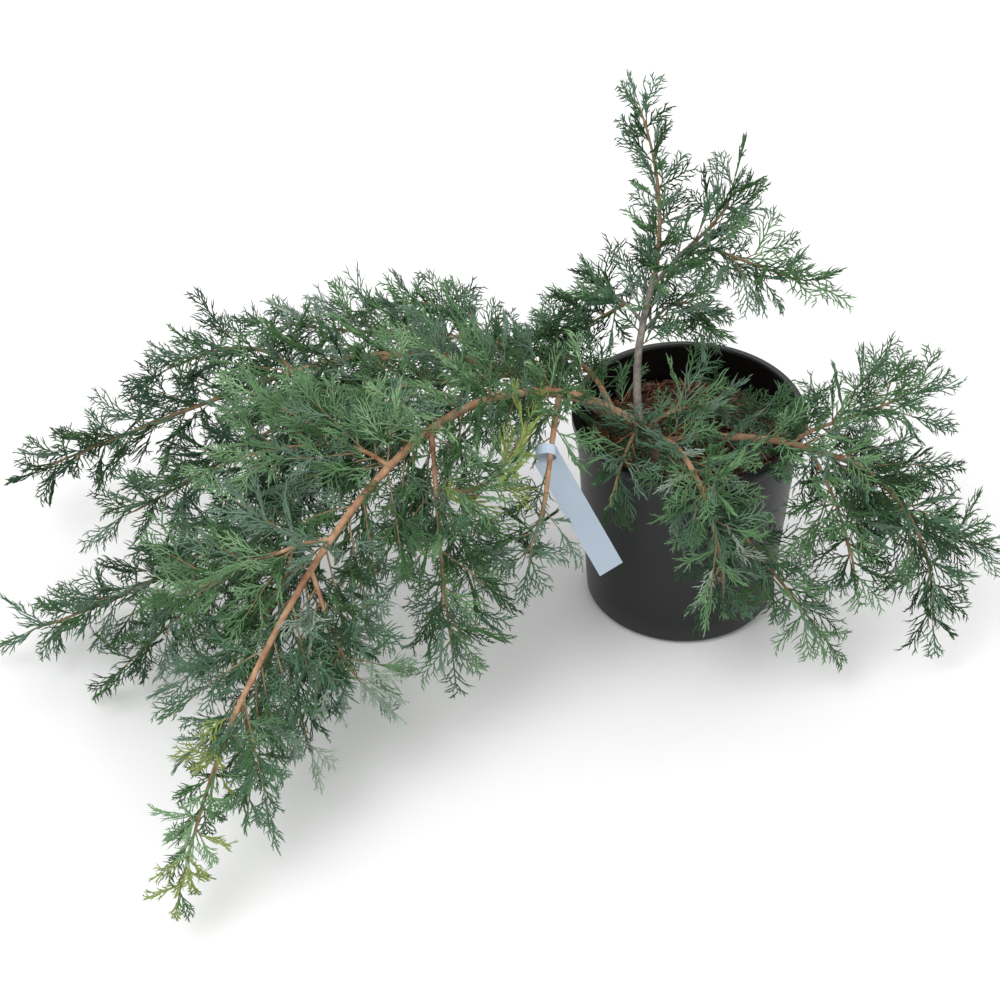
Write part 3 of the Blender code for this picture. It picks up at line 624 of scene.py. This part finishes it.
class Limb:
    """A tapering round stem: its centre line at even steps, and its radius along it."""

    def __init__(self, route, first_radius, last_radius, step):
        self.first_radius, self.last_radius = first_radius, last_radius
        fine = [0.0]
        for a, b in zip(route, route[1:]):
            fine.append(fine[-1] + (b - a).length)
        self.length = fine[-1]
        count = max(3, round(self.length / step) + 1)
        self.points = []
        for k in range(count):
            want = self.length * k / (count - 1)
            i = min(max(i for i, at in enumerate(fine) if at <= want + 1e-9), len(route) - 2)
            share = (want - fine[i]) / (fine[i + 1] - fine[i])
            self.points.append(route[i].lerp(route[i + 1], share))

    def radius(self, share):
        return self.first_radius + (self.last_radius - self.first_radius) * share

    def place(self, share):
        last = len(self.points) - 1
        i = min(int(share * last), last - 1)
        point = self.points[i].lerp(self.points[i + 1], share * last - i)
        return point, (self.points[i + 1] - self.points[i]).normalized()

    def rings(self):
        last = len(self.points) - 1
        for i, point in enumerate(self.points):
            before, after = self.points[max(i - 1, 0)], self.points[min(i + 1, last)]
            yield point, (after - before).normalized(), i / last


def skin(limb, sides, relief, ridges, widen=None):
    """Points and faces of a limb's bark: ridges and bumps stand out of the tapering tube."""
    points, faces, level = [], [], None
    for centre, along, share in limb.rings():
        if level is None:
            level = frame_of(along)[0]
        else:
            level = (level - along * level.dot(along)).normalized()
        upward = level.cross(along)
        radius = limb.radius(share) * (widen(share) if widen else 1.0)
        for k in range(sides):
            turn = 2 * math.pi * k / sides
            out = level * math.cos(turn) - upward * math.sin(turn)
            where = centre + out * radius
            bump = noise.noise(where * ridges) + 0.5 * noise.noise(where * (ridges * 3))
            points.append(centre + out * (radius * (1 + relief * bump)))
    for ring in range(len(limb.points) - 1):
        low, high = ring * sides, (ring + 1) * sides
        for k in range(sides):
            after = (k + 1) % sides
            faces.append((low + k, low + after, high + after, high + k))
    return points, faces


def make_limbs():
    """Every limb starts inside its parent, so that bark runs on from one into the next."""
    foot, top = Vector(TRUNK_FOOT), Vector(TRUNK_TOP)
    bend = foot.lerp(top, 0.5) + Vector((TRUNK_BEND, 0, 0))
    route = bent_route(foot, bend, top, ROUTE_POINTS)
    limbs = {"trunk": Limb(route, TRUNK_RADIUS, TRUNK_RADIUS * TRUNK_TAPER, TRUNK_STEP)}
    for name, (parent_name, share, tip, bend_at, arch, sway, first, last) in BOUGHS.items():
        start, _ = limbs[parent_name].place(share)
        tip = Vector(tip)
        level, _ = frame_of((tip - start).normalized())
        bend = start.lerp(tip, bend_at) + UP * (2 * arch) + level * (2 * sway)
        limbs[name] = Limb(bent_route(start, bend, tip, ROUTE_POINTS), first, last, BOUGH_STEP)
    return limbs


def root_flare(share):
    return 1 + (TRUNK_FLARE - 1) * (1 - share) ** 4


def draw_limbs(limbs):
    old, tan, grey = (bark_material(name, *looks) for name, looks in BARKS.items())
    for name, limb in limbs.items():
        sides = THICK_SIDES if limb.first_radius > THICK_BOUGH else THIN_SIDES
        widen = root_flare if name == "trunk" else None
        points, faces = skin(limb, sides, BARK_RELIEF, BARK_RIDGES, widen)
        material = grey if name.startswith("leader") else old if name == "trunk" else tan
        piece = add_mesh(name + "_bark", points, faces, [material])
        finish_piece(piece, "bark", name if name == "trunk" else name + "_bough")


def stem_of(limbs, bough_name, how, tip, spread):
    bough = limbs[bough_name]
    share = {"on": 1.0, "beside": 1 - SIDE_STEM_DROP / bough.length}[how]
    start, along = bough.place(share)
    chord = Vector(tip) - start
    tip = start + chord * (1 - (END_BASE + END_SHARE * spread) / chord.length)
    aside = (chord - along * chord.dot(along)).normalized()
    if bough_name == "trunk":
        lead = Vector((chord.x, chord.y, 0)).normalized() + UP * STEM_LIFT
    elif how == "on":
        lead = along + chord.normalized() * STEM_LEAD
    else:
        lead = along * STEM_LEAD + aside
    bend = start + lead.normalized() * (chord.length * STEM_BEND)
    root = min(bough.radius(share), STEM_RADIUS * STEM_THICKEST)
    route = bent_route(start, bend, tip, ROUTE_POINTS)
    return Limb(route, root, STEM_RADIUS * STEM_TAPER, STEM_RING_STEP)


def nearest(points, line):
    """The distance of each point from a line of points, and the share of the line there."""
    starts, runs = line[:-1], line[1:] - line[:-1]
    offsets = points[:, None] - starts[None]
    shares = np.clip((offsets * runs).sum(2) / (runs**2).sum(1), 0, 1)
    away = np.linalg.norm(offsets - shares[..., None] * runs, axis=2)
    best = away.argmin(1)
    picked = np.arange(len(points))
    return away[picked, best], (best + shares[picked, best]) / len(runs)


def outline(share):
    """A mass's spread along its stem, as a share of its widest."""
    swell = np.minimum(1, OUTLINE_ROOT + OUTLINE_RISE * share)
    return OUTLINE_SCALE * swell * (OUTLINE_END - np.minimum(share, 1)) ** OUTLINE_BLUNT


class Space:
    """Where a frond may lie: inside the CAD's bounds, and clear of limbs, pot, soil and ground."""

    def __init__(self, limbs, blocks):
        low, high = (np.array(corner) for corner in CAD_BOUNDS)
        self.low, self.high = low + EDGE_MARGIN, high - EDGE_MARGIN
        self.low[2] = GROUND_CLEARANCE
        lines = [np.array(limb.points[:-1:LINE_SKIP] + limb.points[-1:]) for limb in limbs.values()]
        radii = [limb.first_radius for limb in limbs.values()]
        self.blocks = list(zip(lines, radii)) + blocks

    def holds(self, points):
        if (points < self.low).any() or (points > self.high).any():
            return False
        away, z = np.hypot(points[:, 0], points[:, 1]), points[:, 2]
        above = z > POT_HEIGHT + POT_MARGIN
        widest = np.maximum(wall_radius(z), np.where(z > POT_HEIGHT - LIP_ZONE, RIM_RADIUS, 0))
        over_fill = z > SOIL_LEVEL + MOUND_HEIGHT + POT_MARGIN
        inside = (away < inner_radius(z) - POT_MARGIN) & over_fill
        if not (above | (away > widest + POT_MARGIN) | inside).all():
            return False
        low, high = points.min(0), points.max(0)
        for line, radius in self.blocks:
            reach = radius + LIMB_MARGIN
            if (line.min(0) > high + reach).any() or (line.max(0) < low - reach).any():
                continue
            if (nearest(points, line)[0] < reach).any():
                return False
        return True


def cord(core, rims, faces, root, run, length, widths, bow):
    """One fine cord of a frond: three-sided, bowed, and drawn out to a point."""
    first, last = widths
    level, upward = frame_of(run)
    start = len(core)
    for at, size in ((0.0, first), (CORD_MIDDLE, (first + last) / 2)):
        centre = root + run * (length * at) + bow * (4 * at * (1 - at) * length)
        for k in range(3):
            turn = 2 * math.pi * k / 3
            core.append(centre)
            rims.append((level * math.cos(turn) + upward * math.sin(turn)) * size)
    core.append(root + run * length)
    rims.append(Vector())
    for k in range(3):
        after = (k + 1) % 3
        faces.append((start + k, start + after, start + 3 + after))
        faces.append((start + k, start + 3 + after, start + 3 + k))
        faces.append((start + 3 + k, start + 3 + after, start + 6))


def frond_kind(seed):
    """A frond of unit length along +X: forked cords in a loose fan, each a few faces."""
    dice = random.Random(f"frond {seed}")
    core, rims, faces = [], [], []

    def wobble(size):
        return Vector((0, dice.uniform(-size, size), dice.uniform(-size, size)))

    cord(core, rims, faces, Vector(), Vector((1, 0, 0)), 1.0, CORE_WIDTHS, wobble(CORE_BOW))
    for k in range(SIDE_CORDS):
        at = SIDE_CORD_FIRST + SIDE_CORD_SPAN * k / (SIDE_CORDS - 1)
        at += dice.uniform(-SIDE_CORD_SHIFT, SIDE_CORD_SHIFT)
        hand = 1 if k % 2 else -1
        angle = math.radians(dice.uniform(*SIDE_CORD_ANGLES))
        tilt = dice.uniform(-SIDE_CORD_TILT, SIDE_CORD_TILT)
        flat = Vector((0, hand * math.cos(tilt), math.sin(tilt)))
        run = (Vector((1, 0, 0)) * math.cos(angle) + flat * math.sin(angle)).normalized()
        size = (SIDE_CORD_LENGTH - SIDE_CORD_WANE * at) * dice.uniform(*SIDE_CORD_SIZES)
        root = Vector((at, 0, 0))
        cord(core, rims, faces, root, run, size, SIDE_WIDTHS, wobble(SIDE_BOW))
        for share, turn in FORKS:
            if dice.random() < FORK_MISSED:
                continue
            fork = math.radians(dice.uniform(*FORK_ANGLES)) * turn
            bent = run * math.cos(fork) + run.cross(UP).normalized() * math.sin(fork)
            stray = dice.uniform(-FORK_STRAY, FORK_STRAY)
            bent = (bent + Vector((0, 0, stray))).normalized()
            small = size * (FORK_LENGTH - FORK_WANE * share) * dice.uniform(*FORK_SIZES)
            start = root + run * (size * share)
            cord(core, rims, faces, start, bent, small, FORK_WIDTHS, wobble(SIDE_BOW))
    core = np.array([tuple(p) for p in core])
    rims = np.array([tuple(p) for p in rims])
    faces = np.array(faces)
    check = core[::4]
    return core, rims, faces, check


def twig_heading(along, turn, angle):
    level, upward = frame_of(along)
    out = (level * math.cos(turn) + upward * (math.sin(turn) * FLATNESS)).normalized()
    return along * math.cos(angle) + out * math.sin(angle)


def turned(run, roll):
    """The matrix that lays +X along run, rolled round it."""
    level, upward = frame_of(run)
    second = level * math.cos(roll) + upward * math.sin(roll)
    third = run.cross(second)
    return np.array([tuple(run), tuple(second), tuple(third)])


class Growth:
    """Collects the twigs and the fronds of one part of the crown."""

    def __init__(self, kinds, space):
        self.kinds, self.space = kinds, space
        self.points, self.faces, self.tones, self.count = [], [], [], 0
        self.twig_points, self.twig_faces = [], []

    def twig(self, limb, sides=5):
        first = len(self.twig_points)
        points, faces = skin(limb, sides, TWIG_RELIEF, TWIG_RIDGES)
        self.twig_points += points
        self.twig_faces += [tuple(first + c for c in face) for face in faces]

    def frond(self, root, run, length, roll, tone, dice):
        core, rims, faces, check = dice.choice(self.kinds)
        matrix = turned(run, roll)
        origin = np.array(root)
        lift = dice.uniform(*FROND_LIFTS) * length
        probe = (check * length) @ matrix + origin
        probe[:, 2] += lift * check[:, 0] ** 2
        if not self.space.holds(probe[2:]):
            return False
        placed = (core * length + rims * FROND_THICKNESS) @ matrix + origin
        placed[:, 2] += lift * core[:, 0] ** 2
        self.points.append(placed)
        self.faces.append(faces + self.count)
        self.tones.append(np.full(len(faces), tone))
        self.count += len(placed)
        return True


def palette_of(mass_name):
    for palette, names in PLACED.items():
        if mass_name in names:
            return PALETTES[palette]
    return PALETTES["middle"]


def grow(mass_name, stem, spread, growth, tone_at):
    """Twigs leave the stem at even steps, and fronds leave each twig by the same rule."""
    dice = random.Random(mass_name)
    slim = SLIM.get(mass_name, 1.0)
    spread *= slim
    palette = palette_of(mass_name)
    growth.twig(stem, 6)
    count = max(4, round(stem.length * (TWIG_LAST - TWIG_FIRST) / TWIG_STEP))
    phase = dice.uniform(0, 2 * math.pi)
    for k in range(count + 1):
        share = TWIG_FIRST + (TWIG_LAST - TWIG_FIRST) * k / count
        start, along = stem.place(share)
        angle = ROOT_ANGLE + (TIP_ANGLE - ROOT_ANGLE) * share
        if k == count:
            start, along = stem.place(1)
            angle = 0.0
        reach = spread * GROW_SPREAD * float(outline(share)) * dice.uniform(*REACHES)
        run_out = reach / max(LEAST_SINE, math.sin(angle))
        length = max(TWIG_LEAST, run_out - FROND_SIZES[0] * FROND_RUN_OUT)
        if k == count:
            length = (END_BASE + END_SHARE * spread) * 0.5
        turn = phase + k * TURN + dice.uniform(-TURN_WOBBLE, TURN_WOBBLE)
        run = twig_heading(along, turn, angle)
        leafy_twig(start, run, length, growth, palette, tone_at, dice, slim)


def leafy_twig(start, run, length, growth, palette, tone_at, dice, slim=1.0):
    """One twig and the fronds along it. Where none of them fits, the twig is left out."""
    droop = UP * (length * dice.uniform(*TWIG_DROOPS))
    middle = start + run * (length * 0.5) + droop
    route = bent_route(start, middle, start + run * length, TWIG_POINTS)
    limb = Limb(route, TWIG_RADIUS, TWIG_RADIUS * TWIG_TAPER, TWIG_RING_STEP)
    shade = tone_at[dice.choice(palette)]
    grown = 0
    steps = max(2, round(length / FROND_STEP))
    for j in range(steps + 1):
        at = FROND_FIRST + (1 - FROND_FIRST) * j / steps
        root, heading = limb.place(min(at, 1.0))
        lean = FROND_LEANS[0] + (FROND_LEANS[1] - FROND_LEANS[0]) * at if j < steps else 0
        aim = twig_heading(heading, dice.uniform(0, FROND_STRAY) + j * TURN, math.radians(lean))
        size = dice.uniform(*FROND_SIZES) * (1.0 - FROND_WANE * at) * (0.4 + 0.6 * slim)
        tone = shade if dice.random() < ONE_TONE_SHARE else tone_at[dice.choice(palette)]
        for shrink in FROND_SHRINKS:
            if growth.frond(root, aim, size * shrink, dice.uniform(0, math.pi), tone, dice):
                grown += 1
                break
    if grown:
        growth.twig(limb, 4)


def clothe(limb, row, growth, tone_at):
    """Side shoots leave a bough at even steps, by the rule by which twigs leave a stem."""
    bough_name, first, last, spread, keep_off_top, like = row
    dice = random.Random(f"shoots {bough_name} {spread}")
    count = max(2, round(limb.length * (last - first) / SHOOT_STEP))
    phase = dice.uniform(0, 2 * math.pi)
    for k in range(count + 1):
        share = first + (last - first) * k / count
        start, along = limb.place(share)
        turn = phase + k * TURN + dice.uniform(-TURN_WOBBLE, TURN_WOBBLE)
        if keep_off_top and math.sin(turn) > UPPER_SIDE:
            turn = -turn - FLIPPED_ON
        angle = ROOT_ANGLE + (TIP_ANGLE - ROOT_ANGLE) * share
        reach = spread * dice.uniform(*SHOOT_REACHES)
        length = max(SHOOT_LEAST, reach / math.sin(angle) - FROND_SIZES[0] * FROND_RUN_OUT)
        run = twig_heading(along, turn, angle)
        leafy_twig(start, run, length, growth, palette_of(like), tone_at, dice)


def make_crown(limbs):
    """Each part of the crown is one piece of fronds and one of twigs."""
    tone_at = {name: i for i, name in enumerate(TONES)}
    finishes = [
        plain_material("foliage " + name, rgb, 0.7, spread=0.22, scale=45.0, shine=0.2)
        for name, rgb in TONES.items()
    ]
    green_wood = bark_material("twig bark", *TWIG_BARK)
    kinds = [frond_kind(k) for k in range(FROND_KINDS)]
    space = Space(limbs, label_block())
    for group, carriers in GROUPS.items():
        growth, nodes = Growth(kinds, space), []
        for mass, (bough, how, tip, spread) in MASSES.items():
            if bough in carriers:
                grow(mass, stem_of(limbs, bough, how, tip, spread), spread, growth, tone_at)
                nodes.append(mass)
        for row in SHOOTS:
            if row[0] in carriers:
                clothe(limbs[row[0]], row, growth, tone_at)
        leaves = add_mesh(
            group + "_fronds",
            np.concatenate(growth.points),
            np.concatenate(growth.faces),
            finishes,
            np.concatenate(growth.tones),
        )
        finish_piece(leaves, "foliage", *nodes)
        twigs = add_mesh(group + "_twigs", growth.twig_points, growth.twig_faces, [green_wood])
        finish_piece(twigs, "bark")


def label_block():
    """Lines down the CAD label and in front of it, for the fronds to leave it in view."""
    low, high = (Vector(corner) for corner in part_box("label"))
    middle = (low.y + high.y) / 2
    top = Vector((low.x + LABEL_CORNER, middle, high.z))
    foot = Vector((high.x - LABEL_CORNER, middle, low.z))
    blocks = []
    for step in range(LABEL_STEPS):
        off = Vector(LABEL_STEP) * step
        blocks.append((np.array([tuple(top + off), tuple(foot + off)]), LABEL_MARGIN))
    return blocks


def carry_label():
    """The CAD's own label is shown, in pale blue plastic."""
    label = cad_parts["label"]
    pale = (188, 203, 220)
    plastic = plain_material("label plastic", pale, 0.28, spread=0.06, scale=12.0, bump=0.15)
    label.data.materials.clear()
    label.data.materials.append(plastic)


def make_stage():
    bpy.ops.mesh.primitive_plane_add(size=14, location=(0, 2.0, -0.0005))
    floor = bpy.context.object
    floor.name = "floor"
    floor.data.materials.append(plain_material("floor paper", (246, 246, 246), 0.9))


def light_up():
    world = bpy.data.worlds.new("studio")
    bpy.context.scene.world = world
    world.use_nodes = True
    sky = world.node_tree.nodes["Background"]
    sky.inputs["Color"].default_value = (1.0, 1.0, 1.0, 1)
    sky.inputs["Strength"].default_value = SKY_STRENGTH
    for name, place, size, power in LAMPS:
        lamp = bpy.data.lights.new(name, "AREA")
        lamp.energy, lamp.size = power, size
        made = bpy.data.objects.new(name, lamp)
        made.location = place
        aim = Vector(LAMP_AIM) - made.location
        made.rotation_euler = aim.to_track_quat("-Z", "Y").to_euler()
        bpy.context.scene.collection.objects.link(made)


def set_camera():
    lens = bpy.data.cameras.new("camera")
    lens.lens, lens.sensor_width = CAMERA_LENS, CAMERA_SENSOR
    camera = bpy.data.objects.new("camera", lens)
    camera.location = CAMERA_PLACE
    camera.rotation_euler = (math.radians(CAMERA_TILT), 0, 0)
    bpy.context.scene.collection.objects.link(camera)
    bpy.context.scene.camera = camera


make_pot()
make_soil()
all_limbs = make_limbs()
draw_limbs(all_limbs)
make_crown(all_limbs)
carry_label()
make_stage()
light_up()
set_camera()
bpy.context.scene.view_settings.view_transform = "Standard"
